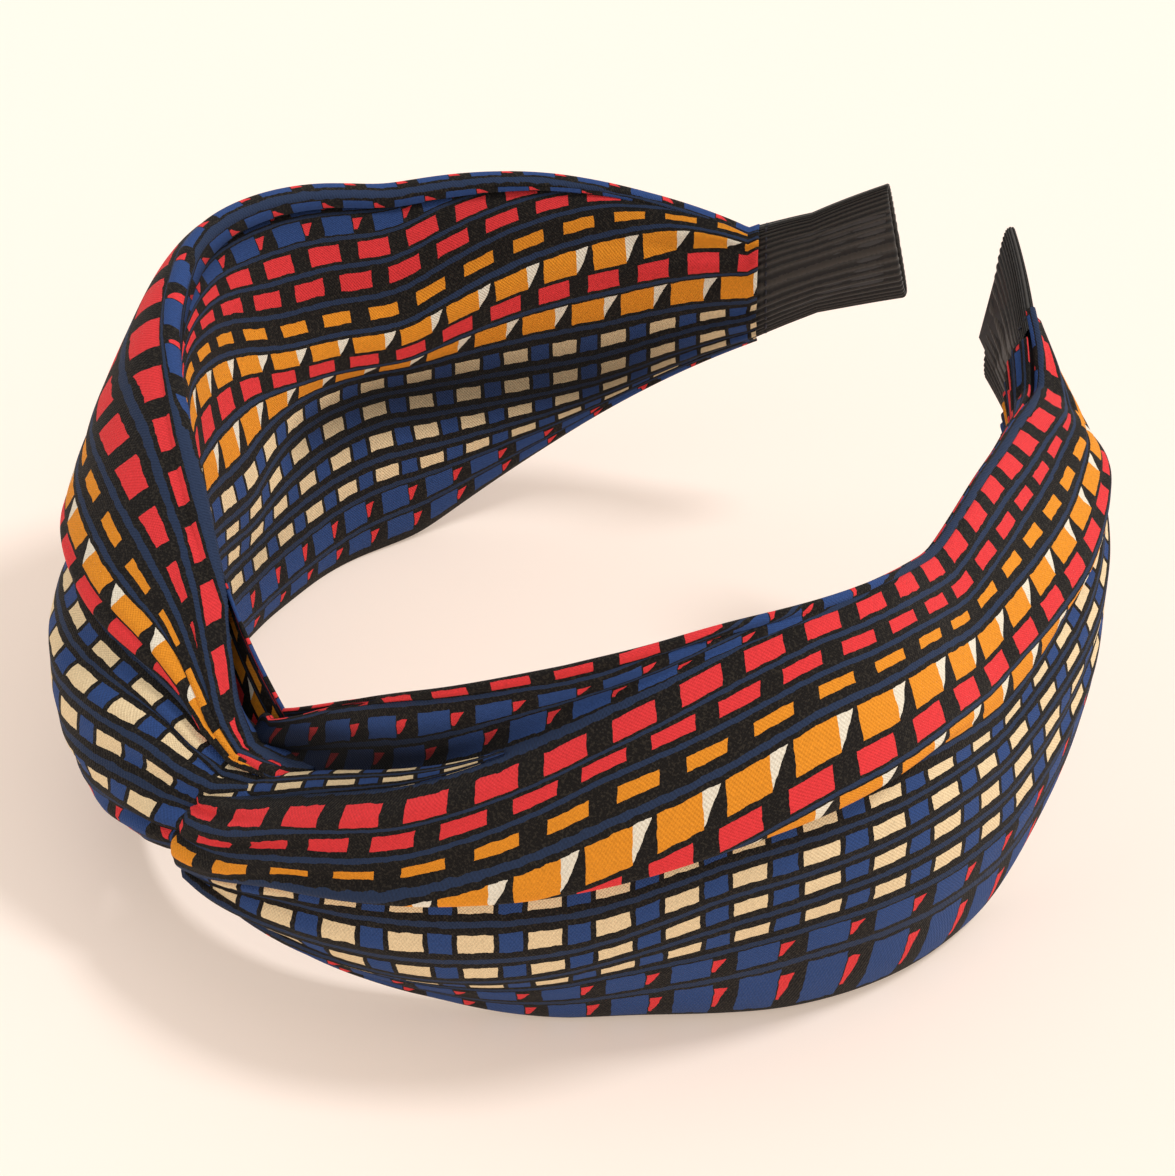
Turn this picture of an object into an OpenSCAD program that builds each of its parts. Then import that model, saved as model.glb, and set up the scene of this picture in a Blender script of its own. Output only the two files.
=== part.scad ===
// Knotted fabric headband: a springy hoop inside a wide cloth cover that is looped into a knot in front.
// X runs across from the left arm to the right arm, Y from the knot back to the open gap, Z up.
// The band is laid out in its own coordinates: s along the hoop from the knot, n outwards, v upwards.

/* [Hoop line] */
// Length of each arm along the hoop, from the middle of the knot to its tip
arm_length = 210; // [206:1:214]
// Turn of the hoop across the front, in degrees
front_turn = 43; // [40:1:45]
// Turn of the gentler stretch behind the front
cheek_turn = 18; // [15:1:20]
// Turn of the tight stretch where the hoop is widest
side_turn = 40; // [36:1:42]
// Turn from there to the left tip
left_tip_turn = 49; // [44:1:54]
// Turn from there to the right tip
right_tip_turn = 61; // [56:1:64]

/* [Hoop] */
// Height of the plastic strip
hoop_w = 18; // [14:1:20]
// Height of the strip at its tips
hoop_tip_w = 14; // [10:1:15]
// Thickness of the strip
hoop_t = 2; // [1.6:0.1:2.2]
// Distance from the knot to each place where the hoop flexes
flex_at = 30; // [28:1:32]
// Clearance round the knuckle of a flex place
knuckle_gap = 0.15; // [0.1:0.05:0.3]

/* [Cloth band] */
// Height of the band at its widest
band_w = 71.5; // [64:0.5:74]
// Height of the pinched band in the knot
knot_w = 31; // [28:1:34]
// Height of the gathered band where a sleeve starts
mouth_w = 22; // [20:1:24]
// Thickness of a doubled and pressed layer of cloth
cloth_t = 1.2; // [1:0.1:1.5]
// How far the outer cloth stands proud beside the knot
knot_puff = 11; // [8:1:12]
// How far the outer cloth stands proud at the sleeves
mouth_puff = 2; // [1.8:0.1:3]
// Height of the topstitch above the lower edge
stitch_height = 8; // [6:1:10]

/* [Stance] */
// Height of the knot's lower edge above the table
knot_lift = 8; // [4:1:10]
// Height of the left tip's lower edge above the table
left_rise = 42; // [36:1:46]
// Height of the right tip's lower edge above the table
right_rise = 49; // [42:1:52]

/* [End sleeves] */
// Length of a knitted sleeve
sleeve_length = 26; // [22:1:30]
// Height of a sleeve at its narrowest
sleeve_waist_w = 19.5; // [18.5:0.5:21]
// Height of a sleeve at its open end
sleeve_end_w = 24; // [22:0.5:26]
// Thickness of the knit
knit_t = 1; // [0.8:0.1:1.2]

/* [Hidden] */
LEFT = -1;
RIGHT = 1;

// Stations along the hoop line where its curvature changes
front_end = 48;
cheek_end = 82;
side_end = 112;
tail_start = 150;
tail_share = 0.3;              // share of the tip turn made before the last stretch
widest_at = 88;                // where the band is at its full height
flat_from = 55;                // the lower edge rests on the table from here
flat_to = 122;                 // to here
mouth_at = arm_length - sleeve_length;
hoop_end = arm_length - 2;
step = 2;                      // pitch of the hoop line's computed points
knot_lean = 24;                // lean of the band's top edge over the head, at the knot
origin_x = -0.3;               // middle of the whole object, measured from the knot
origin_y = 68.8;
rim_gap = 0.2;                 // half the gap between the two panels at their edges
seat_gap = 0.8;                // room between the hoop and each panel
outer_start = flex_at + 4;     // the outer cloth folds in this gap as an arm flexes
inner_start = flex_at + 0.6;
loop_end = flex_at - 1;

cloth_blue = [0.16, 0.25, 0.46];
cloth_red = [0.90, 0.27, 0.27];
cloth_orange = [0.93, 0.60, 0.18];
knit_black = [0.12, 0.09, 0.08];

// Heading of the hoop line, in degrees from straight across, at s on arm k
function tip_turn(k) = k == LEFT ? left_tip_turn : right_tip_turn;
function heading(k, s) =
    let (cheek = front_turn + cheek_turn, side = cheek + side_turn)
    lookup(s, [[0, 0], [front_end, front_turn], [cheek_end, cheek], [side_end, side],
               [tail_start, side + tail_share * tip_turn(k)], [arm_length, side + tip_turn(k)]]);

// Points of the hoop line, one per step, by adding up short straight steps
function march(k) =
    [for (i = 0, p = [0, 0]; i <= arm_length / step + 1;
          p = p + step * [cos(heading(k, (i + 0.5) * step)), sin(heading(k, (i + 0.5) * step))],
          i = i + 1) p];
left_line = march(LEFT);
right_line = march(RIGHT);
function line_point(k, s) =
    let (line = k == LEFT ? left_line : right_line, i = floor(s / step), f = s / step - i)
    line[i] * (1 - f) + line[i + 1] * f;

// Height of the band: a sine swell from the knot, then a cosine taper to the sleeve
function band_width(s) =
    s < widest_at
        ? knot_w + (band_w - knot_w) * sin(90 * s / widest_at)
        : mouth_w + (band_w - mouth_w)
            * pow(cos(90 * min(1, (s - widest_at) / (mouth_at - widest_at))), 0.95);

// Lean of the top edge towards the head, which differs on the two arms as the band lies
function lean(k, s) = k == LEFT
    ? lookup(s, [[0, knot_lean], [34, 12], [63, -3], [90, -10], [150, -7], [arm_length, 3]])
    : lookup(s, [[0, knot_lean], [34, 3], [65, -1], [96, 4], [128, 12], [150, 18], [168, 18],
                 [mouth_at, 4], [arm_length, -12]]);

// Lower edge: lifted at the knot, flat on the table along the sides, rising to the tips
function rise(k) = k == LEFT ? left_rise : right_rise;
function bottom(k, s) =
    knot_lift * pow(max(0, 1 - s / flat_from), 1.3)
    + rise(k) * max(0, (s - flat_to) / (arm_length - flat_to));
function band_height(k, s) = band_width(s) * cos(lean(k, s));
function mid_z(k, s) = bottom(k, s) + band_height(k, s) / 2;

// Point at s, n outwards and v above the middle; the lean slides the section sideways
function place(k, s, n, v) =
    let (p = line_point(k, s), h = heading(k, s), out = n - tan(lean(k, s)) * v)
    [k * (p[0] + sin(h) * out) - origin_x, p[1] - cos(h) * out - origin_y, mid_z(k, s) + v];
// The same with s below zero on the left arm
function place_signed(s, n, v) = place(s < 0 ? LEFT : RIGHT, abs(s), n, v);

function puff(s) = lookup(s, [[0, knot_puff + 1], [34, knot_puff], [widest_at, knot_puff - 2],
                              [tail_start, knot_puff - 4], [mouth_at, mouth_puff]]);
// Inside of the outer cloth at share q of half the band's height
function outer_n(s, q) = rim_gap + puff(s) * pow(max(0, cos(90 * q)), 0.7);
// Outside of the inner cloth
function inner_n(q) = -rim_gap - (hoop_t / 2 + seat_gap - rim_gap) * (1 - pow(abs(q), 6));

// Closed solid through flat rings of points; every ring has the same even count of points,
// and its two halves run side by side, so that strips between them close the ends
module skin(rings) {
    count = len(rings[0]);
    last = (len(rings) - 1) * count;
    sides = [for (i = [0:count:last - count], j = [0:count - 1])
        let (a = i + j, b = i + (j + 1) % count)
        each [[a, b, b + count], [a, b + count, a + count]]];
    ends = [for (j = [0:count / 2 - 2])
        let (a = j, b = j + 1, c = count - 2 - j, d = count - 1 - j)
        each [[c, b, a], [d, c, a],
              [last + a, last + b, last + c], [last + a, last + c, last + d]]];
    polyhedron([for (r = rings) each r], concat(sides, ends), convexity = 8);
}

// Evenly spaced stations from a to b
function stations(a, b, count) = [for (i = [0:count]) a + (b - a) * i / count];
shares = [for (i = [0:12]) sin(90 * (i - 6) / 6)];

// The ring turns the other way on the left arm, so that every face looks outwards
function turned(k, ring) = k == LEFT ? [for (i = [len(ring) - 1:-1:0]) ring[i]] : ring;

module outer_panel(k) {
    skin([for (s = stations(outer_start, mouth_at - 0.3, 26))
        let (h = band_height(k, s) / 2)
        turned(k, concat(
            [for (q = shares) place(k, s, outer_n(s, q) + cloth_t, q * h)],
            [for (i = [len(shares) - 1:-1:0]) place(k, s, outer_n(s, shares[i]), shares[i] * h)]))]);
}

module inner_panel(k) {
    skin([for (s = stations(inner_start, mouth_at - 0.3, 26))
        let (h = band_height(k, s) / 2)
        turned(k, concat(
            [for (q = shares) place(k, s, inner_n(q), q * h)],
            [for (i = [len(shares) - 1:-1:0])
                place(k, s, inner_n(shares[i]) - cloth_t, shares[i] * h)]))]);
}

function strip_width(s) = hoop_w - (hoop_w - hoop_tip_w) * s / arm_length;
function strip_ring(k, s) =
    let (v = strip_width(s) / 2, n = hoop_t / 2)
    turned(k, [place(k, s, n, -v), place(k, s, n, v), place(k, s, -n, v), place(k, s, -n, -v)]);

// Frame on a flex axis: along the hoop in X and up the leaning strip in Z
module flex_frame(k) {
    p = place(k, flex_at, 0, 0);
    translate(p) mirror([k == LEFT ? 1 : 0, 0, 0])
        rotate([0, 0, heading(k, flex_at)])
        rotate([-lean(k, flex_at), 0, 0]) children();
}
module knuckle(k, gap, spare) {
    flex_frame(k)
        cylinder(r = hoop_t / 2 + gap, h = strip_width(flex_at) + spare, center = true, $fn = 48);
}

module hoop_crown() {
    color(knit_black) union() {
        skin([for (s = stations(-flex_at, flex_at, 16))
            let (v = strip_width(abs(s)) / 2, n = hoop_t / 2)
            [place_signed(s, n, -v), place_signed(s, n, v),
             place_signed(s, -n, v), place_signed(s, -n, -v)]]);
        knuckle(LEFT, 0, -1);
        knuckle(RIGHT, 0, -1);
    }
}
module hoop_arm(k) {
    difference() {
        skin([for (s = stations(flex_at, hoop_end, 30)) strip_ring(k, s)]);
        knuckle(k, knuckle_gap, 8);
    }
}
module hoop_left() { color(knit_black) hoop_arm(LEFT); }
module hoop_right() { color(knit_black) hoop_arm(RIGHT); }
module inner_panel_left() { color(cloth_blue) inner_panel(LEFT); }
module inner_panel_right() { color(cloth_blue) inner_panel(RIGHT); }
module outer_panel_left() { color(cloth_red) outer_panel(LEFT); }
module outer_panel_right() { color(cloth_orange) outer_panel(RIGHT); }

// Lining that crosses behind the knot
module crown_lining() {
    reach = flex_at - 0.6;
    color(cloth_blue) skin([for (s = stations(-reach, reach, 14))
        let (h = band_height(s < 0 ? LEFT : RIGHT, abs(s)) / 2)
        concat([for (q = shares) place_signed(s, inner_n(q), q * h)],
               [for (i = [len(shares) - 1:-1:0])
                   place_signed(s, inner_n(shares[i]) - cloth_t, shares[i] * h)])]);
}

// The two knot loops are U-shaped and hook through each other like two links of a chain.
// Layers of the knot, outwards from the hoop, and half their thickness
inner_layer = 3.4;
middle_layer = 8.2;
outer_layer = 13;
layer_half = 1.8;
loop_reach = 5;                // where each U starts to turn
eye = 9.5;                     // from a U's middle line to the middle of its leg
right_half = 4.2;              // half the height of the right loop's legs where they are pinched
left_half = 4.4;               // and of the left loop's legs
left_spread = 6;               // growth of that half height towards the left panel
left_splay = 3.5;              // how far the left loop's legs part towards the panel
edge_room = 6;                 // from the edge of the right loop to the edge of its panel
edge_curl = 9;                 // how far the right loop's edges curl in at the panel
layer_growth = [0.8, 0.4];     // extra half thickness at the left and right panels
back_growth = 0.05;            // growth of the right loop's hidden leg per mm
back_stations = [-loop_reach, 4, 13, 22];

// Oval section with its middle at (s, n, v); it is thin along unit vector a, tall along b,
// and its upper and lower edges curl inwards by the given amount
function oval(c, a, thin, b, tall, curl = 0) =
    [for (i = [0:11]) let (w = 30 * i, p = c + a * thin * cos(w) + b * tall * sin(w))
        place_signed(p[0], p[1] - curl * pow(sin(w), 2), p[2])];

// The right loop lies flat round the left one: outer leg, turn, then inner leg by the hoop
module knot_loop_right() {
    turn_r = (outer_layer - inner_layer) / 2;
    leg = [for (s = stations(loop_end, -loop_reach, 9))
        let (f = max(0, s / loop_end))
        oval([s, outer_layer, 0], [0, -1, 0], layer_half + layer_growth[1] * f,
             [0, 0, 1], right_half + (band_height(RIGHT, flex_at) / 2 - edge_room) * pow(f, 0.8),
             edge_curl * pow(f, 1.5))];
    turn = [for (w = [20:20:160])
        oval([-loop_reach - turn_r * sin(w), (outer_layer + inner_layer) / 2 + turn_r * cos(w), 0],
             [sin(w), -cos(w), 0], layer_half, [0, 0, 1], right_half)];
    back = [for (s = back_stations)
        oval([s, inner_layer, 0], [0, 1, 0], layer_half,
             [0, 0, 1], right_half + back_growth * max(0, s))];
    color(cloth_orange) skin([for (r = concat(leg, turn, back)) r]);
}

// The left loop stands up: upper leg, turn between the right loop's legs, lower leg
module knot_loop_left() {
    upper = [for (s = stations(-loop_end, -loop_reach, 8))
        let (f = (-s - loop_reach) / (loop_end - loop_reach))
        oval([s, middle_layer, eye + left_splay * f], [0, 1, 0], layer_half + layer_growth[0] * f,
             [0, 0, 1], left_half + left_spread * f)];
    turn = [for (w = [15:15:165])
        oval([eye * sin(w) + 1 - loop_reach, middle_layer, eye * cos(w)],
             [0, 1, 0], layer_half, [sin(w), 0, cos(w)], left_half)];
    lower = [for (s = stations(-loop_reach, -loop_end, 8))
        let (f = (-s - loop_reach) / (loop_end - loop_reach))
        oval([s, middle_layer, -eye - left_splay * f], [0, 1, 0], layer_half + layer_growth[0] * f,
             [0, 0, -1], left_half + left_spread * f)];
    color(cloth_red) skin(concat(upper, turn, lower));
}

// Thread that ties the right loop's hidden end to the hoop
module knot_tacking() {
    at = 20;
    thread = 0.4;
    inner = -hoop_t / 2 - 0.2;
    outer = inner_layer + layer_half + 0.2;
    reach = strip_width(at) / 2 + 0.4;
    function ring(s, grow) =
        [for (c = [[outer + grow, -reach - grow], [outer + grow, reach + grow],
                   [inner - grow, reach + grow], [inner - grow, -reach - grow]])
            place_signed(s, c[0], c[1])];
    color(knit_black) difference() {
        skin([ring(at - 0.6, thread), ring(at + 0.6, thread)]);
        skin([ring(at - 1.2, 0), ring(at + 1.2, 0)]);
    }
}

// Thread line along the lower part of the outer cloth
module topstitch(k) {
    thread_r = 0.25;
    skin([for (s = stations(outer_start + 2, mouth_at - 4, 48))
        let (h = band_height(k, s) / 2, v = -h + stitch_height * h * 2 / band_w,
             n = outer_n(s, v / h) + cloth_t + thread_r + 0.1)
        turned(k, [for (w = [0:60:300]) place(k, s, n + thread_r * cos(w), v + thread_r * sin(w))])]);
}
module topstitch_left() { color(knit_black) topstitch(LEFT); }
module topstitch_right() { color(knit_black) topstitch(RIGHT); }

// Outline of a sleeve: gathered at its mouth, waisted, flared and flat at its end
function sleeve_w(s) =
    let (f = (s - mouth_at) / sleeve_length)
    lookup(f, [[0, mouth_w], [0.45, sleeve_waist_w], [1, sleeve_end_w]]);
function sleeve_ring(k, s, tall, thick) =
    turned(k, [for (i = [0:15]) let (w = 22.5 * i)
        place(k, s, thick * sign(cos(w)) * pow(abs(cos(w)), 0.6), tall / 2 * sin(w))]);
sleeve_n = hoop_t / 2 + 0.4 + knit_t;
module end_sleeve(k) {
    difference() {
        skin([for (s = stations(mouth_at, arm_length, 10)) sleeve_ring(k, s, sleeve_w(s), sleeve_n)]);
        skin([for (s = stations(mouth_at - 1, hoop_end + 0.6, 8))
            let (v = strip_width(s) / 2 + 0.4, n = hoop_t / 2 + 0.3)
            turned(k, [place(k, s, n, -v), place(k, s, n, v),
                       place(k, s, -n, v), place(k, s, -n, -v)])]);
    }
}
module end_sleeve_left() { color(knit_black) end_sleeve(LEFT); }
module end_sleeve_right() { color(knit_black) end_sleeve(RIGHT); }

// Ring of stitches that gathers a sleeve's mouth onto the band
module sleeve_stitch(k) {
    difference() {
        skin([for (s = [mouth_at + 1, mouth_at + 2]) sleeve_ring(k, s, mouth_w + 1.6, sleeve_n + 0.8)]);
        skin([for (s = [mouth_at + 0.5, mouth_at + 2.5]) sleeve_ring(k, s, mouth_w + 0.3, sleeve_n + 0.15)]);
    }
}
module sleeve_stitch_left() { color(knit_black) sleeve_stitch(LEFT); }
module sleeve_stitch_right() { color(knit_black) sleeve_stitch(RIGHT); }

hoop_crown();
hoop_left();
hoop_right();
inner_panel_left();
inner_panel_right();
outer_panel_left();
outer_panel_right();
crown_lining();
knot_loop_left();
knot_loop_right();
knot_tacking();
topstitch_left();
topstitch_right();
end_sleeve_left();
end_sleeve_right();
sleeve_stitch_left();
sleeve_stitch_right();
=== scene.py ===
import bpy
import numpy as np
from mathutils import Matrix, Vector


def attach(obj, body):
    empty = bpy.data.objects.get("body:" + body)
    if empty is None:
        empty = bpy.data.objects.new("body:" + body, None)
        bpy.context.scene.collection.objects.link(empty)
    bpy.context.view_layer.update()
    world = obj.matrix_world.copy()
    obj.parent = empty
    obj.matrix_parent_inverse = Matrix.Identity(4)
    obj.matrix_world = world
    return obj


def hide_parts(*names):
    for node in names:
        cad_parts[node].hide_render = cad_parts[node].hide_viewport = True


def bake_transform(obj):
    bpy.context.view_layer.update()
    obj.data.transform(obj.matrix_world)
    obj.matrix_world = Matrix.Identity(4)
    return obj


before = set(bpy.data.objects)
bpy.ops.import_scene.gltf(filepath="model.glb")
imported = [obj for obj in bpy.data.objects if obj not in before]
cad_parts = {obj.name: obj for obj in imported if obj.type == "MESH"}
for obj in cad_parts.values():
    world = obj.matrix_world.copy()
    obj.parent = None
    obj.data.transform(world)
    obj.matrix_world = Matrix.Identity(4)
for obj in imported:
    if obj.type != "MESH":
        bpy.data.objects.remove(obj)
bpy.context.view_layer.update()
mm = 0.001
left, right = -1, 1

print("camera")
cameraValues = {
    "target": (0.3, -1.3, 30.0),      # mm, in the frame of the part
    "towardsCamera": (0.606, -0.523, 0.599),
    "distance": 596.0,
    "lens": 113.9,
}


def addCamera(values):
    # stands at target + distance * direction and looks back along it
    data = bpy.data.cameras.new("viewCamera")
    data.lens = values["lens"]
    data.sensor_width = 36
    data.clip_start = 0.01
    camera = bpy.data.objects.new("viewCamera", data)
    back = Vector(values["towardsCamera"]).normalized()
    camera.location = (Vector(values["target"]) + back * values["distance"]) * mm
    camera.rotation_euler = back.to_track_quat("Z", "Y").to_euler()
    bpy.context.scene.collection.objects.link(camera)
    bpy.context.scene.camera = camera


addCamera(cameraValues)


bandValues = {
    "armLength": 210.0, "widestAt": 88.0, "mouthAt": 184.0,
    "bandHeight": 71.5, "knotHeight": 31.0, "mouthHeight": 22.0,
    "flatFrom": 55.0, "flatTo": 122.0, "knotLift": 8.0,
    "rise": {left: 42.0, right: 49.0},
    "turns": [(0, 0), (48, 43), (82, 61), (112, 101)],    # mm along the hoop, degrees turned by there
    "tipTurn": {left: 49.0, right: 61.0},                 # degrees more by the tip
    "tipShares": [(150, 0.3), (210, 1)],                  # mm along the hoop, share of the tip's turn
    "lineStep": 0.5,
    "origin": (-0.3, 68.8),
}
leanPoints = {
    left: [(0, 24), (34, 12), (63, -3), (90, -10), (150, -7), (210, 3)],
    right: [(0, 24), (34, 3), (65, -1), (96, 4), (128, 12), (150, 18), (168, 18), (184, 4), (210, -12)],
}
puffPoints = {
    left: [(0, 11.5), (14, 13.5), (30, 17), (50, 17), (88, 12), (150, 8), (176, 4.5), (186, 1.8)],
    right: [(0, 11.5), (34, 11), (88, 9.5), (150, 9.5), (178, 9), (188, 6), (197, 1.8)],
}


def smoothTable(points, blur=7, start=-60.0, end=220.0):
    # straight lines between the points, averaged over a bell of 2 * blur mm
    grid = np.arange(start, end + 1.0)
    xs, ys = zip(*points)
    bell = np.hanning(2 * blur + 3)[1:-1]
    padded = np.pad(np.interp(grid, xs, ys), blur, mode="edge")
    return grid, np.convolve(padded, bell / bell.sum(), mode="valid")


def readTable(table, s):
    return np.interp(s, *table)


leans = {side: smoothTable(leanPoints[side], 9) for side in (left, right)}
puffs = {side: smoothTable(puffPoints[side], 5) for side in (left, right)}


def hoopLine(side):
    # the line on the head: x and y are the running sums of cos and sin of the heading
    tip, turns, step = bandValues["tipTurn"][side], bandValues["turns"], bandValues["lineStep"]
    turns = turns + [(s, turns[-1][1] + share * tip) for s, share in bandValues["tipShares"]]
    grid = np.arange(0.0, 216.0, step)
    heading = np.radians(np.interp(grid, *zip(*turns)))
    middle = (heading[1:] + heading[:-1]) / 2
    x = np.r_[0, np.cumsum(np.cos(middle)) * step]
    y = np.r_[0, np.cumsum(np.sin(middle)) * step]
    return grid, x, y, heading


hoopLines = {side: hoopLine(side) for side in (left, right)}


def bandHeightAt(s):
    # quarter sine from knot to widest, then quarter cosine down to the mouth
    b = bandValues
    front = b["knotHeight"] + (b["bandHeight"] - b["knotHeight"]) * np.sin(
        np.pi / 2 * np.clip(s / b["widestAt"], 0, 1))
    share = np.clip((s - b["widestAt"]) / (b["mouthAt"] - b["widestAt"]), 0, 1)
    back = b["mouthHeight"] + (b["bandHeight"] - b["mouthHeight"]) * np.cos(np.pi / 2 * share) ** 0.95
    return np.where(s < b["widestAt"], front, back)


def halfHeight(side, s):
    # band height * cos(lean) / 2
    return bandHeightAt(s) * np.cos(np.radians(readTable(leans[side], s))) / 2


def lowerEdge(side, s):
    # lift * (1 - s / flatFrom)^1.3 at the knot, then a straight climb to the tip
    b = bandValues
    lift = b["knotLift"] * np.clip(1 - s / b["flatFrom"], 0, None) ** 1.3
    climb = (s - b["flatTo"]) / (b["armLength"] - b["flatTo"])
    return lift + b["rise"][side] * (climb + np.sqrt(climb ** 2 + 0.002)) / 2


def placeOnArm(side, s, n, v):
    # hoop line at s, then n mm outwards and v mm up from the middle height, leaning by tan(lean)
    grid, xLine, yLine, heading = hoopLines[side]
    h = np.interp(s, grid, heading)
    out = n - np.tan(np.radians(readTable(leans[side], s))) * v
    x = side * (np.interp(s, grid, xLine) + np.sin(h) * out) - bandValues["origin"][0]
    y = np.interp(s, grid, yLine) - np.cos(h) * out - bandValues["origin"][1]
    z = lowerEdge(side, s) + halfHeight(side, s) + v
    return np.stack(np.broadcast_arrays(x, y, z), -1)


def place(side, s, n, q):
    # q is the height in halves of the band, from -1 below to 1 above; s below 0 is on the other arm
    s, n, q = np.broadcast_arrays(s, n, q)
    far = np.abs(s)
    own = placeOnArm(side, far, n, q * halfHeight(side, far))
    other = placeOnArm(-side, far, n, q * halfHeight(-side, far))
    return np.where((s < 0)[..., None], other, own)


def gridMesh(name, points, cloth, flip=False, closed=False, caps=False):
    # points is rows x columns x 3 in mm, and cloth its place on the print; closed joins the last
    # column to the first, and caps closes the two ends
    rows, columns = points.shape[:2]
    index = np.arange(rows * columns).reshape(rows, columns)
    if closed:
        index = np.hstack([index, index[:, :1]])
    quads = np.stack([index[:-1, :-1], index[1:, :-1], index[1:, 1:], index[:-1, 1:]], -1).reshape(-1, 4)
    if flip:
        quads = quads[:, ::-1]
    faces = quads.tolist()
    if caps:
        faces += [index[0, :-1].tolist(), index[-1, -2::-1].tolist()]
    mesh = bpy.data.meshes.new(name)
    mesh.from_pydata((points.reshape(-1, 3) * mm).tolist(), [], faces)
    layer = mesh.uv_layers.new(name="clothMap")
    corner = np.zeros(len(mesh.loops), np.int32)
    mesh.loops.foreach_get("vertex_index", corner)
    layer.data.foreach_set("uv", cloth.reshape(-1, 2)[corner].astype(np.float32).ravel())
    mesh.shade_smooth()
    mesh.update()
    piece = bpy.data.objects.new(name, mesh)
    bpy.context.scene.collection.objects.link(piece)
    return piece


def thicken(piece, thickness):
    solid = piece.modifiers.new("thickness", "SOLIDIFY")
    solid.thickness = thickness * mm
    solid.offset = -1.0
    solid.use_even_offset = False


def acrossCurve(controls, share):
    # Catmull-Rom curve through the controls; share runs from 0 at the first to 1 at the last
    last = controls.shape[0] - 1
    position = np.clip(share * last, 0, last - 1e-6)
    i = position.astype(int)
    t = (position - i)[:, None, None]
    before, after = np.clip(i - 1, 0, last), np.clip(i + 2, 0, last)
    a, b, c, d = controls[before], controls[i], controls[i + 1], controls[after]
    square = (2 * a - 5 * b + 4 * c - d) * t ** 2
    cube = (3 * b - a - 3 * c + d) * t ** 3
    return 0.5 * (2 * b + (c - a) * t + square + cube)


def unit(v):
    return v / np.maximum(np.linalg.norm(v, axis=-1, keepdims=True), 1e-9)


def readTracks(tracks, stations, s, blur=6):
    # each track gives height, depth and print row at the stations; returns tracks x s x 3
    def table(values):
        values = values if isinstance(values, (list, tuple)) else [values] * len(stations)
        return readTable(smoothTable(list(zip(stations, values)), blur), s)
    return np.stack([np.stack([table(t[0]), table(t[1]), table(t[2])], -1) for t in tracks])


printValues = {
    "repeat": 9.0,        # mm from one dash to the next along the cloth
    "thread": 0.5,        # mm from one thread to the next
    "red": (0.84, 0.045, 0.05), "orange": (0.87, 0.31, 0.02), "cream": (0.90, 0.70, 0.42),
    "blue": (0.028, 0.068, 0.215), "navy": (0.022, 0.038, 0.085), "black": (0.010, 0.008, 0.007),
    "fleck": (0.040, 0.033, 0.024), "white": (0.90, 0.82, 0.66),
    "endWander": (420, 0.07), "rowWander": (510, 0.5),    # noise scale, and how far edges stray
    "grain": 2600, "fleckFrom": 0.56, "fleckTone": 0.55,  # flecks in the black ground
    "lineHalf": 0.36,                                     # mm, half the height of a navy line
    "tone": 0.97, "grainTone": 0.5, "weaveTone": 0.07,    # brightness, and what grain and weave add
    "paintedFoldShadeFloor": 0.10,                                     # painted shade: brightness left at the bottom of a fold
    "crumple": (160, 3.0), "bump": (0.35, 0.25),          # noise scale and height; strength and mm
}
# centre in mm from the upper rim, half height, share of the repeat, shift along, kind
printRows = [
    (1.6, 1.5, 0.60, 0.10, "red"), (7.6, 1.75, 0.58, 0.35, "block"), (12.6, 1.75, 0.58, 0.80, "block"),
    (17.5, 1.5, 0.62, 0.20, "red"), (22.2, 1.15, 0.64, 0.65, "red"), (26.9, 0.85, 0.60, 0.15, "orange"),
    (31.9, 1.75, 0.66, 0.60, "bright"), (36.3, 1.75, 0.62, 0.72, "red"),
    (41.2, 1.6, 0.66, 0.05, "bright"), (46.0, 0.95, 0.50, 0.45, "pale"),
    (50.5, 0.95, 0.50, 0.45, "pale"), (55.0, 0.95, 0.50, 0.42, "pale"), (59.5, 0.95, 0.50, 0.38, "pale"),
    (64.2, 1.7, 0.60, 0.30, "block"), (69.2, 1.7, 0.60, 0.22, "block"),
]
printLines = [-3.8, -1.2, 4.4, 10.1, 15.0, 19.85, 24.6, 29.2, 38.9, 43.6, 48.3, 52.8, 57.3, 61.9, 66.8]


def mathNode(tree, operation, *inputs):
    node = tree.nodes.new("ShaderNodeMath")
    node.operation = operation
    for socket, value in zip(node.inputs, inputs):
        if isinstance(value, (int, float)):
            socket.default_value = value
        else:
            tree.links.new(value, socket)
    return node.outputs[0]


def mixColour(tree, factor, first, second):
    node = tree.nodes.new("ShaderNodeMix")
    node.data_type = "RGBA"
    for socket, value in ((node.inputs[0], factor), (node.inputs[6], first), (node.inputs[7], second)):
        if isinstance(value, tuple):
            socket.default_value = (*value, 1)
        elif isinstance(value, (int, float)):
            socket.default_value = value
        else:
            tree.links.new(value, socket)
    return node.outputs[2]


def noise(tree, scale, detail=2.0, vector=None):
    node = tree.nodes.new("ShaderNodeTexNoise")
    node.inputs["Scale"].default_value = scale
    node.inputs["Detail"].default_value = detail
    if vector is None:
        vector = tree.nodes.new("ShaderNodeTexCoord").outputs["Object"]
    tree.links.new(vector, node.inputs["Vector"])
    return node.outputs["Fac"]


def newMaterial(name, roughness, sheen=0.0):
    material = bpy.data.materials.new(name)
    material.use_nodes = True
    shader = material.node_tree.nodes["Principled BSDF"]
    shader.inputs["Roughness"].default_value = roughness
    shader.inputs["Sheen Weight"].default_value = sheen
    shader.inputs["Sheen Roughness"].default_value = 0.5
    return material, material.node_tree, shader


def addBump(tree, shader, height, strength, distance):
    bump = tree.nodes.new("ShaderNodeBump")
    bump.inputs["Strength"].default_value = strength
    bump.inputs["Distance"].default_value = distance * mm
    tree.links.new(height, bump.inputs["Height"])
    tree.links.new(bump.outputs["Normal"], shader.inputs["Normal"])


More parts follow.
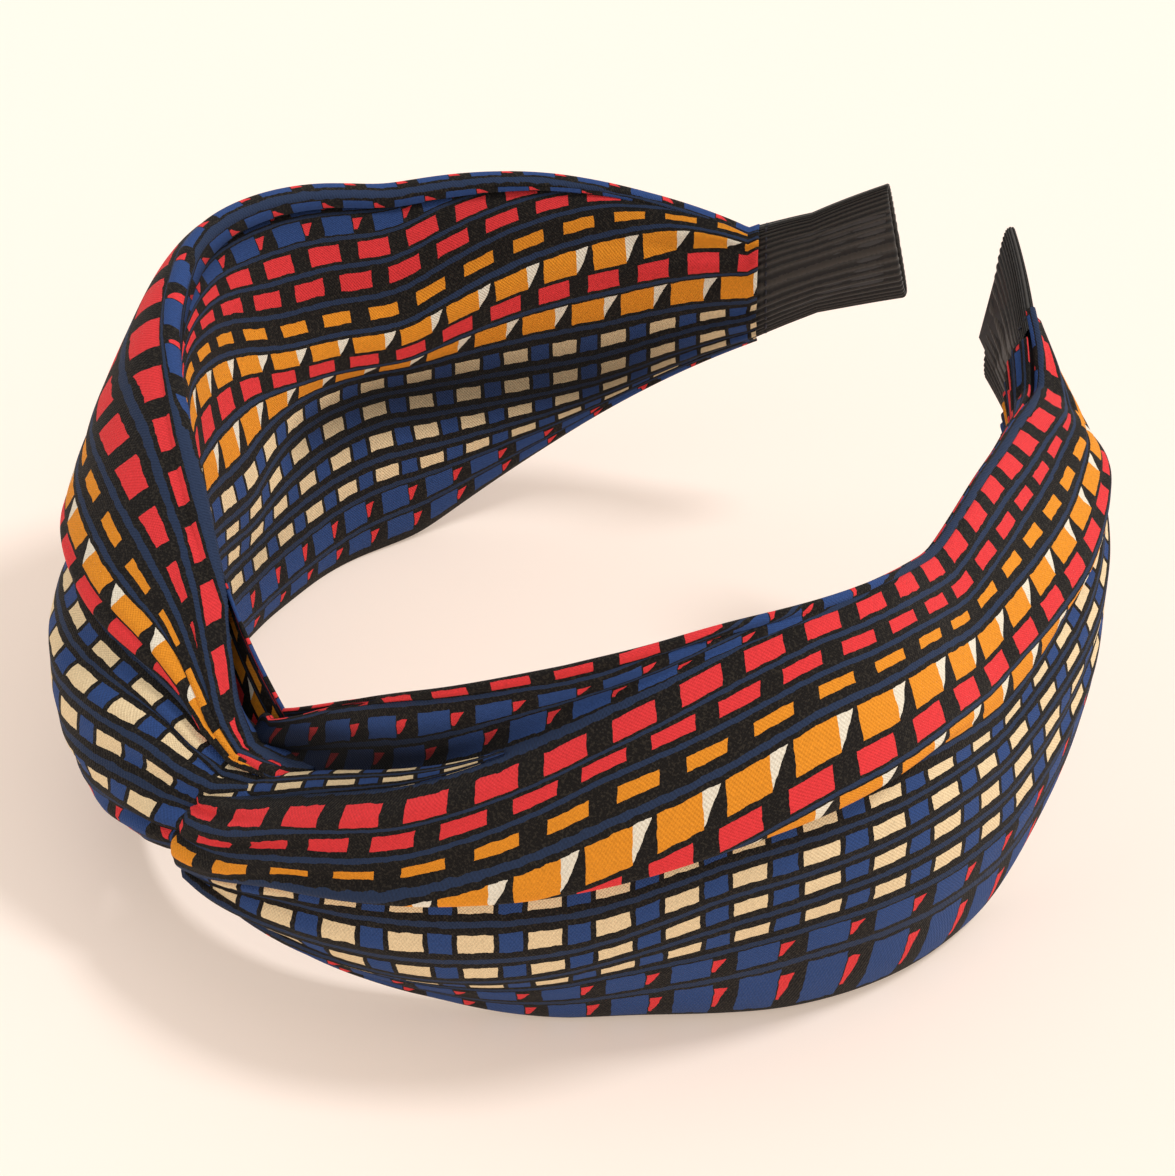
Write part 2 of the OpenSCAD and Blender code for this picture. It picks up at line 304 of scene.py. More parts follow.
def printedCloth():
    # rows of dashes: a dash is where the place in the repeat is before its share and the place in the row
    # is within half its height
    p = printValues
    material, tree, shader = newMaterial("printedCloth", 0.78, 0.02)
    shader.inputs["Specular IOR Level"].default_value = 0.16
    uv = tree.nodes.new("ShaderNodeUVMap")
    uv.uv_map = "clothMap"
    split = tree.nodes.new("ShaderNodeSeparateXYZ")
    tree.links.new(uv.outputs["UV"], split.inputs[0])

    def wander(scale, amount, position):
        # position + amount * (noise - 0.5)
        centred = mathNode(tree, "SUBTRACT", noise(tree, scale, 3), 0.5)
        return mathNode(tree, "MULTIPLY_ADD", centred, amount, position)

    along = wander(*p["endWander"], split.outputs["X"])
    across = wander(*p["rowWander"], split.outputs["Y"])
    grain = noise(tree, p["grain"], 2)
    flecked = mathNode(tree, "GREATER_THAN", grain, p["fleckFrom"])
    colour = mixColour(tree, mathNode(tree, "MULTIPLY", flecked, p["fleckTone"]), p["black"], p["fleck"])
    for line in printLines:
        mask = mathNode(tree, "COMPARE", across, line, p["lineHalf"])
        colour = mixColour(tree, mask, colour, p["navy"])
    for centre, half, share, shift, kind in printRows:
        inRow = mathNode(tree, "COMPARE", across, centre, half)
        repeat = mathNode(tree, "FRACT", mathNode(tree, "ADD", along, shift))
        dash = mathNode(tree, "LESS_THAN", repeat, share)
        depth = mathNode(tree, "DIVIDE", mathNode(tree, "SUBTRACT", across, centre), half)
        gap = mathNode(tree, "DIVIDE", mathNode(tree, "SUBTRACT", repeat, share), 1 - share)
        if kind == "pale":
            band = mathNode(tree, "COMPARE", across, centre, half + 0.15)
            block = mathNode(tree, "COMPARE", gap, 0.5, 0.34)
            colour = mixColour(tree, mathNode(tree, "MULTIPLY", band, block), colour, p["blue"])
        if kind == "bright":
            slope = mathNode(tree, "MULTIPLY_ADD", depth, -0.42, 0.36)
            corner = mathNode(tree, "MULTIPLY", inRow, mathNode(tree, "LESS_THAN", gap, slope))
            colour = mixColour(tree, corner, colour, p["white"])
        if kind == "block":
            edge = mathNode(tree, "MULTIPLY_ADD", depth, -0.30, 0.36)
            after = mathNode(tree, "GREATER_THAN", gap, 0.05)
            before = mathNode(tree, "LESS_THAN", gap, edge)
            corner = mathNode(tree, "MULTIPLY", after, before)
            inside = mathNode(tree, "COMPARE", depth, 0.0, 0.62)
            colour = mixColour(tree, mathNode(tree, "MULTIPLY", corner, inside), colour, p["red"])
        name = {"block": "blue", "pale": "cream", "bright": "orange"}.get(kind, kind)
        colour = mixColour(tree, mathNode(tree, "MULTIPLY", inRow, dash), colour, p[name])
    # threads: a sine along times one across
    perMm = 2 * np.pi / p["thread"]
    warp = mathNode(tree, "SINE", mathNode(tree, "MULTIPLY", split.outputs["X"], p["repeat"] * perMm))
    weft = mathNode(tree, "SINE", mathNode(tree, "MULTIPLY", split.outputs["Y"], perMm))
    weave = mathNode(tree, "MULTIPLY", warp, weft)
    tone = mathNode(tree, "MULTIPLY_ADD", mathNode(tree, "SUBTRACT", grain, 0.5), p["grainTone"], p["tone"])
    tone = mathNode(tree, "MULTIPLY_ADD", weave, p["weaveTone"], tone)
    # painted shade: the print's colour is darkened by the per-point shading attribute, down in folds and in
    # the hollow beside the knot
    fold = tree.nodes.new("ShaderNodeAttribute")
    fold.attribute_name = "paintedFoldShading"
    light = mathNode(tree, "MULTIPLY_ADD", fold.outputs["Fac"], 1 - p["paintedFoldShadeFloor"], p["paintedFoldShadeFloor"])
    tone = mathNode(tree, "MULTIPLY", tone, light)
    shade = tree.nodes.new("ShaderNodeVectorMath")
    shade.operation = "SCALE"
    tree.links.new(colour, shade.inputs[0])
    tree.links.new(tone, shade.inputs["Scale"])
    tree.links.new(shade.outputs[0], shader.inputs["Base Color"])
    scale, height = p["crumple"]
    crumple = mathNode(tree, "MULTIPLY", noise(tree, scale, 3), height)
    addBump(tree, shader, mathNode(tree, "ADD", weave, crumple), *p["bump"])
    return material


knitValues = {
    "loop": 0.9,                                          # mm from one loop to the next in a rib
    "loopHeight": 0.35, "bump": (0.4, 0.12),
    "grain": (1800, 0.9), "ribHighlightFrom": 0.62,
    # dark is the yarn's colour; light is a painted highlight on the rib tops
    "dark": (0.009, 0.007, 0.006), "light": (0.034, 0.028, 0.022),
}


def ribbedKnit():
    # height = cos across the ribs + loopHeight * sin along them; the lighter colour on the rib tops is a
    # painted highlight, broken up by random grain
    k = knitValues
    material, tree, shader = newMaterial("ribbedKnit", 0.62, 0.12)
    uv = tree.nodes.new("ShaderNodeUVMap")
    uv.uv_map = "clothMap"
    split = tree.nodes.new("ShaderNodeSeparateXYZ")
    tree.links.new(uv.outputs["UV"], split.inputs[0])
    loops = mathNode(tree, "SINE", mathNode(tree, "MULTIPLY", split.outputs["X"], 2 * np.pi / k["loop"]))
    ribs = mathNode(tree, "COSINE", mathNode(tree, "MULTIPLY", split.outputs["Y"], 2 * np.pi))
    scale, amount = k["grain"]
    grain = mathNode(tree, "MULTIPLY", noise(tree, scale, 2), amount)
    light = mathNode(tree, "MULTIPLY_ADD", ribs, 0.5, grain)
    ribTopHighlight = mathNode(tree, "GREATER_THAN", light, k["ribHighlightFrom"])
    colour = mixColour(tree, ribTopHighlight, k["dark"], k["light"])
    tree.links.new(colour, shader.inputs["Base Color"])
    raisedLoops = mathNode(tree, "MULTIPLY", loops, k["loopHeight"])
    addBump(tree, shader, mathNode(tree, "ADD", ribs, raisedLoops), *k["bump"])
    return material


def plainMaterial(name, colour, roughness, bumpScale, bumpDepth):
    material, tree, shader = newMaterial(name, roughness)
    light = tuple(min(1.0, c * 1.5 + 0.01) for c in colour)
    tree.links.new(mixColour(tree, noise(tree, bumpScale, 3), colour, light), shader.inputs["Base Color"])
    addBump(tree, shader, noise(tree, bumpScale, 3), 0.4, bumpDepth)
    return material


print("materials")
clothMaterial = printedCloth()
knitMaterial = ribbedKnit()
threadMaterial = plainMaterial("thread", (0.012, 0.012, 0.02), 0.6, 4000, 0.1)
plasticMaterial = plainMaterial("hoopPlastic", (0.02, 0.02, 0.022), 0.35, 300, 0.05)


clothValues = {
    "thickness": 0.55, "step": 0.9, "acrossOuter": 150, "acrossInner": 110,
    "outerEnd": {left: 186.0, right: 197.0},   # mm along the hoop, at the sleeve
    "innerEnd": {left: 186.0, right: 192.0},
    "farTuck": 14.0,       # the far sheet runs this far past the knot
    "nearTuck": 18.0,      # the near sheet runs this far back behind it
    "knotTurn": 4.9,       # radius of the near sheet's turn, mm
    "tuckMiddle": -0.1, "tuckNarrows": 0.5,    # the height that it narrows to, and by how much
    "tuckOver": 9.0,
    "behind": (0.25, 1.9),                     # share of its relief left behind the knot, mm off the hoop
    "bend": (24.0, 38.0),  # mm along the hoop between which the cloth bends
    "pleat": 6.5, "finePleat": 3.7,            # mm from one soft pleat to the next
    "pleatHeight": (0.10, 0.45),               # mm, on the open cloth and added where it is gathered
    "gathered": (26.0, 22.0),                  # mm that the gathers reach from knot and sleeve
    "pleatDrift": (0.035, 1.4, 23.0),          # radians per mm, and the size and length of its sway
    "sink": 6.5, "sinkFrom": 6, "sinkOver": 20.0,    # how the far sheet's end dips, mm
    "hollow": (0.64, 0.32), "hollowBelow": -0.8,     # heights q and least depth of the hollow beside the knot whose print is painted dark
    # painted shade in that hollow: how dark, and how far from the knot it reaches
    "hollowPaintedShade": 0.97, "hollowShadeLength": 20.0,
    "innerGap": 0.6, "innerCurve": 2.4, "innerBlur": 10,
    "innerPleat": (0.05, 0.3), "innerMouth": 18.0,   # mm on the open cloth and added over the last stretch
    "innerShade": (-2.2, -2.4),                # depth that its print is painted shaded for, and how that grows with d
    "hoopRoom": ([10, 14], [-1.35, 9]),        # mm from the middle, and the least depth there
}
# stations along the arm, then for each track down the cloth: height q, depth d, print row w
outerStations = {
    right: [0, 8, 16, 33, 60, 76, 89, 108, 125, 150, 172, 197],
    left: [-14, -8, 0, 10, 20, 30, 46, 60, 84, 120, 150, 186],
}
outerTracks = {
    right: [
        ([0.88, 0.9, 0.94, 1, 1, 1, 0.99, 0.98, 0.98, 0.97, 0.97, 0.9],
         [-2.6, -2.2, -1.6, -1, -1, -1, -1, -1, -1, -2, -2, -1],
         [-3, -3, -3, -3, -3, -1, 7, 12, 13, 13, 13, 13]),
        ([0.97, 0.99, 1.02, 1.05, 1.04, 1.04, 1.03, 1.02, 1.02, 1.02, 1.03, 0.95],
         [0.4, 0.5, 0.6, 0.6, 0.6, 0.6, 0.6, 0.6, 0.6, 0.6, 0.6, 0.4],
         [0, 0, 0, 0, 0, 2, 11.5, 14.5, 15, 15, 15, 15]),
        ([0.92, 0.94, 0.96, 0.98, 0.97, 1, 1, 1.01, 1.01, 1.01, 1, 0.92],
         [-2.4, -2, -1.4, -0.8, 0.2, 0.4, 0.5, 0.5, 0.5, 0.5, 0.5, 0.4],
         [4.4, 4.4, 4.4, 4.4, 5, 8, 13.6, 15.6, 15.8, 15.8, 15.8, 15.8]),
        ([0.68, 0.7, 0.72, 0.76, 0.88, 0.96, 0.985, 0.99, 1, 0.99, 0.97, 0.88],
         [-5.8, -5.8, -5.6, -4.8, -2.2, 0, 0.4, 0.5, 0.5, 0.5, 0.5, 0.4],
         [9.8, 9.8, 9.8, 9.8, 12, 12.5, 14.8, 16.2, 16.4, 16.4, 16.4, 16.4]),
        ([0.46, 0.49, 0.55, 0.62, 0.84, 0.95, 0.98, 0.985, 0.99, 0.98, 0.96, 0.86],
         [-8.6, -8.4, -8, -6.6, -1.8, 0, 0.3, 0.5, 0.5, 0.5, 0.5, 0.4],
         [13.5, 13.5, 13.5, 13.5, 14, 14, 15.6, 16.8, 17, 17, 17, 17]),
        ([0.39, 0.42, 0.49, 0.565, 0.82, 0.94, 0.977, 0.982, 0.985, 0.975, 0.95, 0.85],
         [-5, -5.4, -5.6, -5.2, -1.2, 0, 0.3, 0.5, 0.5, 0.5, 0.5, 0.4],
         [14.7, 14.7, 14.7, 14.7, 14.8, 14.8, 15.9, 17.1, 17.3, 17.3, 17.3, 17.3]),
        ([0.355, 0.395, 0.47, 0.545, 0.8, 0.925, 0.972, 0.977, 0.975, 0.965, 0.93, 0.83],
         [-1, -0.8, -0.8, -1.6, -0.4, 0.2, 0.3, 0.4, 0.4, 0.4, 0.4, 0.3],
         [15.5, 15.5, 15.5, 15.5, 15.5, 15.5, 16.3, 17.4, 17.6, 17.6, 17.6, 17.6]),
        ([0.31, 0.36, 0.445, 0.52, 0.77, 0.9, 0.96, 0.97, 0.96, 0.94, 0.9, 0.78],
         [0.2, 0.5, 0.8, 0.8, 0.6, 0.4, 0.3, 0.3, 0.3, 0.3, 0.3, 0.2],
         [16.4, 16.4, 16.5, 16.6, 16.8, 17, 17.5, 18.2, 18.4, 18.4, 18.4, 18.4]),
        ([0.16, 0.22, 0.34, 0.43, 0.7, 0.82, 0.9, 0.91, 0.9, 0.88, 0.83, 0.66],
         [0.8, 1, 1.2, 1.2, 0.8, 0.6, 0.4, 0.3, 0.3, 0.3, 0.3, 0.2], 20),
        ([0, 0.06, 0.18, 0.28, 0.6, 0.7, 0.8, 0.82, 0.8, 0.76, 0.7, 0.52],
         [1.2, 1.6, 1.8, 1.6, 1.2, 0.8, 0.5, 0.4, 0.4, 0.4, 0.4, 0.2], 24.4),
        ([-0.18, -0.08, 0.07, 0.15, 0.44, 0.56, 0.69, 0.72, 0.7, 0.63, 0.55, 0.34],
         [1.4, 1.8, 2.2, 2.2, 2, 1.5, 0.9, 0.5, 0.5, 0.8, 0.8, 0.2],
         [28, 28, 28, 28, 28.5, 28.5, 28.5, 28.5, 28.5, 28, 28, 28]),
        ([-0.32, -0.14, 0.02, 0.09, 0.2, 0.3, 0.46, 0.54, 0.53, 0.43, 0.34, 0.16],
         [1.2, 2.1, 2.9, 3.3, 3.4, 3, 2, 0.7, 0.6, 1.4, 1.4, 0.3],
         [29, 29, 29, 29, 33, 35, 34.5, 34, 34, 34, 34, 34]),
        ([-0.38, -0.17, -0.005, 0.055, 0.125, 0.205, 0.27, 0.38, 0.38, 0.28, 0.18, 0],
         [0.6, 1.6, 2.6, 3.1, 3.4, 3.2, 2.6, 1, 0.6, 1.8, 2, 0.3],
         [30, 30, 30, 30, 36, 39, 42, 40, 40, 39, 39, 39]),
        ([-0.39, -0.17, 0, 0.06, 0.135, 0.215, 0.28, 0.33, 0.31, 0.23, 0.13, -0.06],
         [-0.6, -0.2, 0.2, 0.3, 0.4, 0.5, 0.5, 0.2, 0.1, 0.6, 0.6, 0.1],
         [34, 34, 34, 34, 38, 40.5, 43, 42, 42, 41, 41, 41]),
        ([-0.36, -0.12, 0.06, 0.12, 0.19, 0.27, 0.31, 0.29, 0.27, 0.17, 0.08, -0.1],
         [-2.4, -2.6, -2.8, -3, -2.8, -2.4, -1.4, -0.2, 0, -0.8, -0.9, 0],
         [38, 38, 38, 38, 41, 42.2, 43.4, 43.6, 43.6, 42.6, 42.6, 43]),
        ([-0.4, -0.22, -0.05, 0, 0.06, 0.16, 0.22, 0.24, 0.23, 0.12, 0.02, -0.14],
         [-2.2, -2.4, -2.6, -2.8, -2.6, -2.2, -1.3, -0.2, 0, -0.7, -0.7, 0],
         [42.6, 42.6, 42.6, 42.6, 43.4, 43.8, 44.4, 44.8, 44.8, 44.6, 44.6, 45]),
        ([-0.48, -0.36, -0.25, -0.2, -0.11, 0.04, 0.1, 0.15, 0.15, 0.02, -0.08, -0.24],
         [-0.8, -0.9, -0.9, -0.8, -0.7, -0.4, -0.2, 0, 0, 0, 0, 0], 48.2),
        ([-0.54, -0.52, -0.5, -0.5, -0.32, -0.13, -0.07, 0, 0, -0.14, -0.24, -0.4],
         [0, 0, 0, 0, 0, 0, 0, 0.3, 0.3, 0.6, 0.4, 0], 53),
        ([-0.58, -0.62, -0.68, -0.72, -0.46, -0.3, -0.22, -0.18, -0.18, -0.3, -0.4, -0.56],
         [-0.6, -0.6, -0.6, -0.6, 0, 0, 0, 0, 0, -0.2, -0.2, 0], 57.5),
        ([-0.62, -0.7, -0.78, -0.82, -0.58, -0.46, -0.38, -0.36, -0.36, -0.46, -0.56, -0.7],
         [-1.2, -1.2, -1.2, -1.2, -0.3, 0, 0, 0.2, 0.2, 0.2, 0.2, 0], 61.9),
        ([-0.66, -0.78, -0.88, -0.92, -0.76, -0.65, -0.56, -0.56, -0.58, -0.66, -0.75, -0.82],
         [-1.4, -1.4, -1.4, -1.2, -0.4, 0, 0, 0, 0, 0, 0, 0], 66.7),
        ([-0.68, -0.82, -0.95, -0.98, -0.9, -0.84, -0.8, -0.8, -0.82, -0.86, -0.9, -0.93],
         [-1.4, -1.4, -1.2, -0.6, -0.2, 0, 0, 0, 0, 0, 0, 0], 69.6),
        ([-0.66, -0.82, -0.96, -1, -0.99, -0.98, -0.99, -0.99, -0.99, -0.99, -1, -0.98],
         [-2.4, -2, -1, 0, 0, 0, 0, 0, 0, 0, 0, -0.3], 71.3),
    ],
    left: [
        ([0.48, 0.56, 0.7, 0.82, 0.9, 0.93, 0.94, 0.93, 0.93, 0.95, 0.96, 0.92],
         [-6, -5, -4, -4, -4, -4, -5, -5.5, -5, -3.5, -3, -1],
         [13, 13, 13, 13, 13, 13, 12.6, 10, 6, 6, 6, 8]),
        ([0.5, 0.6, 0.76, 0.9, 0.98, 1, 1, 0.98, 0.97, 0.985, 0.99, 0.95],
         [-3, -2, -1.5, -1.5, -1.5, -1.8, -2.5, -3.2, -3, -2.6, -2, -0.8],
         [14.7, 14.7, 14.7, 14.7, 14.7, 14.7, 14.5, 12.5, 9, 9, 9, 10.5]),
        ([0.51, 0.62, 0.8, 0.95, 1.02, 1.03, 1.03, 1.02, 1.02, 1.03, 1.03, 0.98],
         [-1, 0, 0.4, 0.4, 0.4, 0.2, -0.2, -0.8, -0.6, -0.6, -0.4, 0],
         [15.4, 15.4, 15.4, 15.4, 15.4, 15.4, 15.3, 14, 11, 11, 11, 12.5]),
        ([0.5, 0.61, 0.77, 0.91, 0.98, 0.99, 0.98, 0.98, 1, 1.02, 1.02, 0.97],
         [-0.4, 0.8, 1.2, 1.4, 1.4, 1.2, 1, 0.8, 0.8, 0.6, 0.5, 0.3],
         [19.2, 19.2, 19.2, 19.2, 19.2, 19.2, 19, 17.6, 15, 13.6, 13.6, 14.5]),
        ([0.49, 0.6, 0.755, 0.885, 0.95, 0.955, 0.92, 0.87, 0.9, 0.93, 0.94, 0.92],
         [-0.2, 0.9, 1.3, 1.5, 1.6, 1.5, 1.5, 1.4, 1.2, 1, 0.8, 0.3],
         [20.8, 20.8, 20.8, 20.8, 20.8, 20.8, 20.8, 19.6, 18, 17, 17, 18]),
        ([0.48, 0.59, 0.745, 0.86, 0.91, 0.9, 0.8, 0.68, 0.74, 0.82, 0.84, 0.82],
         [0, 0.9, 1.3, 1.4, 1.5, 1.6, 1.6, 1.5, 1.2, 0.8, 0.5, 0.3],
         [23.6, 23.6, 23.6, 23.6, 23.6, 23.6, 23.4, 22.4, 21, 20, 20, 21.5]),
        ([0.47, 0.58, 0.735, 0.82, 0.85, 0.8, 0.68, 0.52, 0.56, 0.66, 0.68, 0.64],
         [0, 0.8, 1.2, 1.4, 1.5, 1.6, 1.6, 1.5, 1.2, 0.8, 0.5, 0.3],
         [25.8, 25.8, 25.8, 26, 26.5, 26.5, 26.5, 26, 25, 25, 25, 26]),
        ([0.46, 0.57, 0.725, 0.78, 0.76, 0.66, 0.5, 0.36, 0.38, 0.46, 0.48, 0.44],
         [0, 0.8, 1.1, 1.4, 1.6, 1.8, 1.8, 1.6, 1.2, 0.8, 0.6, 0.3],
         [30, 30, 30, 31, 31.5, 31.5, 31.5, 31, 30, 30.5, 31, 32]),
        ([0.45, 0.56, 0.7, 0.73, 0.66, 0.55, 0.38, 0.24, 0.24, 0.3, 0.3, 0.26],
         [0, 0.6, 1, 1.2, 1.6, 1.8, 1.9, 1.7, 1.2, 0.8, 0.6, 0.3],
         [34, 34, 34, 35, 36, 36.4, 36.4, 36, 35, 36, 36, 37]),
        ([0.44, 0.55, 0.68, 0.7, 0.61, 0.49, 0.31, 0.16, 0.12, 0.14, 0.12, 0.1],
         [-0.6, -0.2, 0.2, 0.3, 0.3, 0.4, 0.5, 0.5, 0.6, 0.8, 0.6, 0.3],
         [38, 38, 38, 39, 39, 39.5, 39.5, 39.5, 40, 41, 41, 42]),
        ([0.44, 0.555, 0.69, 0.71, 0.62, 0.5, 0.32, 0.15, 0.04, 0.02, 0, -0.02],
         [-1.4, -1.3, -1.2, -1.4, -1.8, -2, -2, -1.6, -0.4, 0.4, 0.4, 0.2],
         [41, 41, 41, 42, 42, 42, 42, 42, 43, 44.5, 44.5, 45]),
        ([0.42, 0.53, 0.64, 0.62, 0.52, 0.4, 0.21, 0.04, -0.08, -0.12, -0.14, -0.16],
         [-1, -1, -0.9, -1, -1.4, -1.6, -1.6, -1.2, -0.2, 0.2, 0.2, 0.1],
         [43.5, 43.5, 43.5, 44, 44, 44.2, 44.5, 45, 46, 48, 48, 48]),
        ([0.4, 0.5, 0.58, 0.54, 0.4, 0.26, 0.05, -0.1, -0.22, -0.26, -0.28, -0.3],
         [-0.2, 0, 0.2, 0.3, 0.2, 0.2, 0.2, 0, 0, 0, 0, 0],
         [48, 48, 48, 48, 48.2, 48.2, 48.2, 48.2, 50, 52, 52, 52]),
        ([0.42, 0.47, 0.47, 0.4, 0.2, 0.06, -0.14, -0.28, -0.38, -0.42, -0.44, -0.46],
         [0.2, 0.4, 0.8, 1.2, 1.4, 1.4, 0.8, 0.2, 0, 0, 0, 0],
         [53, 53, 53, 52.8, 52.8, 52.8, 52.8, 52.8, 54, 56, 56, 56]),
        ([0.32, 0.34, 0.25, 0.1, -0.12, -0.28, -0.38, -0.46, -0.55, -0.6, -0.62, -0.62],
         [-0.2, 0.2, 0.5, 0.6, 0.6, 0.4, 0.2, 0, 0, 0, 0, 0],
         [57.3, 57.3, 57.3, 57.3, 57.3, 57.3, 57.3, 57.3, 58.5, 60, 60, 60]),
        ([0.2, 0.15, 0.02, -0.18, -0.4, -0.56, -0.62, -0.68, -0.72, -0.76, -0.76, -0.78],
         [-0.4, 0.2, 0.6, 0.8, 0.8, 0.4, 0.1, 0, 0, 0, 0, 0],
         [61.8, 61.8, 61.8, 61.8, 61.8, 61.8, 61.8, 62, 63, 64.5, 64.5, 65]),
        ([0.1, 0, -0.18, -0.42, -0.7, -0.8, -0.84, -0.86, -0.88, -0.9, -0.9, -0.9],
         [-1, -0.6, -0.3, 0, 0, 0, 0, 0, 0, 0, 0, 0], 67.5),
        ([0.05, -0.1, -0.34, -0.62, -0.94, -0.99, -0.99, -0.99, -0.99, -0.99, -0.99, -0.98],
         [-3, -3, -3, -2, -0.8, 0, 0, 0, 0, 0, 0, -0.3], 71.3),
    ],
}


def smoothStep(share):
    # 3 t^2 - 2 t^3
    return share * share * (3 - 2 * share)


def foldDepth(d):
    # painted shade: 1 on the open cloth, falling smoothly to 0 where the tracks go 7 mm deep; it darkens
    # the print down in the folds
    return 1 - smoothStep(np.clip((-d - 1.6) / 5.4, 0, 1))


def standProud(side, s, q, d):
    # distance of the outer cloth from the hoop line: 0.2 + puff(s) * cos(90 q)^0.7 + depth
    curve = np.clip(np.cos(np.pi / 2 * np.clip(q, -1, 1)), 0, None) ** 0.7
    return 0.2 + readTable(puffs[side], np.clip(s, 0, None)) * curve + d


def pleatedDepth(values, s, w, end):
    # two sines across the cloth that drift along it, highest near the knot and near the sleeve
    fromKnot, fromSleeve = values["gathered"]
    gather = np.exp(-(np.clip(s, 0, None) / fromKnot) ** 2) + np.exp(-((s - end) / fromSleeve) ** 2)
    calm, more = values["pleatHeight"]
    perMm, sway, swayLength = values["pleatDrift"]
    drift = perMm * s + sway * np.sin(s / swayLength)
    wide = np.sin(2 * np.pi * w / values["pleat"] + drift)
    fine = np.sin(2 * np.pi * w / values["finePleat"] - 1.7 * drift)
    return (calm + more * np.clip(gather, 0, 1)) * (wide + 0.5 * fine)


def turnBehind(values, s, n, q):
    # past the knot the near sheet narrows to half and goes round a half circle of the turn's radius:
    # along = -radius * sin(a), in = radius * (1 - cos(a)), and it ends flat on the hoop
    radius, middle = values["knotTurn"], values["tuckMiddle"]
    narrow = smoothStep(np.clip(-s / values["tuckOver"], 0, 1))
    q = middle + (q - middle) * (1 - values["tuckNarrows"] * narrow)
    angle = np.clip(-s / radius, 0, np.pi)
    rest = np.clip(-s - np.pi * radius, 0, None)
    flatten = angle / np.pi
    turned = n - radius * (1 - np.cos(angle))
    relief, offHoop = values["behind"]
    behind = (n - 2 * radius) * relief + offHoop
    along = np.where(s < 0, -radius * np.sin(angle) + rest, s)
    return along, np.where(s < 0, turned * (1 - flatten) + flatten * behind, n), q


def outerSurface(side, values):
    # the tracks' heights and depths, then pleats; at the knot one sheet turns behind and the other dips
    end = values["outerEnd"][side]
    if side == right:
        start, held = -(np.pi * values["knotTurn"] + values["nearTuck"]), 0.0
    else:
        start, held = -values["farTuck"], -values["farTuck"]
    u = np.arange(end, start, -values["step"])
    controls = readTracks(outerTracks[side], outerStations[side], np.maximum(u, held))
    q, d, w = np.moveaxis(acrossCurve(controls, np.linspace(0, 1, values["acrossOuter"])), -1, 0)
    s = np.broadcast_to(u, q.shape)
    n = standProud(side, s, q, d) + pleatedDepth(values, s, w, end) * np.clip(1 - np.abs(q) ** 8, 0, 1)
    # painted shade: the print is darker where the cloth lies deep in a fold
    paintedShading = foldDepth(d)
    if side == right:
        along, n, q = turnBehind(values, s, n, q)
        # painted shade: the hollow beside the knot is darkened in the print's colour, standing in for the
        # shade there
        middle, half = values["hollow"]
        hollow = np.clip(1 - ((q - middle) / half) ** 4, 0, 1) * (d < values["hollowBelow"])
        near = np.exp(-(np.clip(s, 0, None) / values["hollowShadeLength"]) ** 4)
        paintedShading = paintedShading * (1 - values["hollowPaintedShade"] * near * hollow)
    else:
        along = s
        n = n - values["sink"] * np.clip((values["sinkFrom"] - s) / values["sinkOver"], 0, 1) ** 1.3
    return place(side, along, n, q), np.stack([s / printValues["repeat"], w], -1), paintedShading


def addPaintedShading(piece, paintedShading):
    # painted shade: the print is darkened down in the folds and in the hollow beside the knot, and the
    # material multiplies its colour by this
    layer = piece.data.attributes.new("paintedFoldShading", "FLOAT", "POINT")
    layer.data.foreach_set("value", paintedShading.astype(np.float32).ravel())


def bendCloth(piece, side):
    # bakes the piece's placing into its mesh; the two ends of the stretch round the flex place are worked
    # out but not used
    start, end = place(side, np.array(clothValues["bend"]), 0.0, 0.0) * mm
    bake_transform(piece)


def finishSheet(piece, side):
    piece.data.materials.append(clothMaterial)
    thicken(piece, clothValues["thickness"])
    bendCloth(piece, side)


print("outer cloth")
outerPoints = {}
outerCloth = {}
for side, word in ((left, "left"), (right, "right")):
    points, cloth, paintedShading = outerSurface(side, clothValues)
    outerPoints[side], outerCloth[side] = points, cloth
    piece = gridMesh("outer_cloth_" + word, points, cloth, flip=(side == left))
    addPaintedShading(piece, paintedShading)
    finishSheet(piece, side)
    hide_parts("outer_panel_" + word, "knot_loop_" + word)

foldValues = {
    "from": -5.0, "to": 47.0, "step": 0.9, "around": 40,
    "width": [(-5, 1.0), (20, 1.0), (34, 0.9), (47, 0.3)],      # share of the slope it covers
    "swell": [(-5, 1.6), (12, 1.5), (34, 0.9), (47, 0.2)],      # mm that it bulges
    "ridgeTrack": 6, "hollowTrack": 4,                          # the tracks that the slope joins
    "below": 1.6, "above": 2.8, "aside": 0.03,                  # how it stands off ridge and hollow
    "row": 47.6, "spread": 4.6, "drift": 0.09, "shift": 0.3,    # where it lies on the print
    # painted shade: the fold's print is darkened evenly to this share
    "paintedShading": 0.85,
}


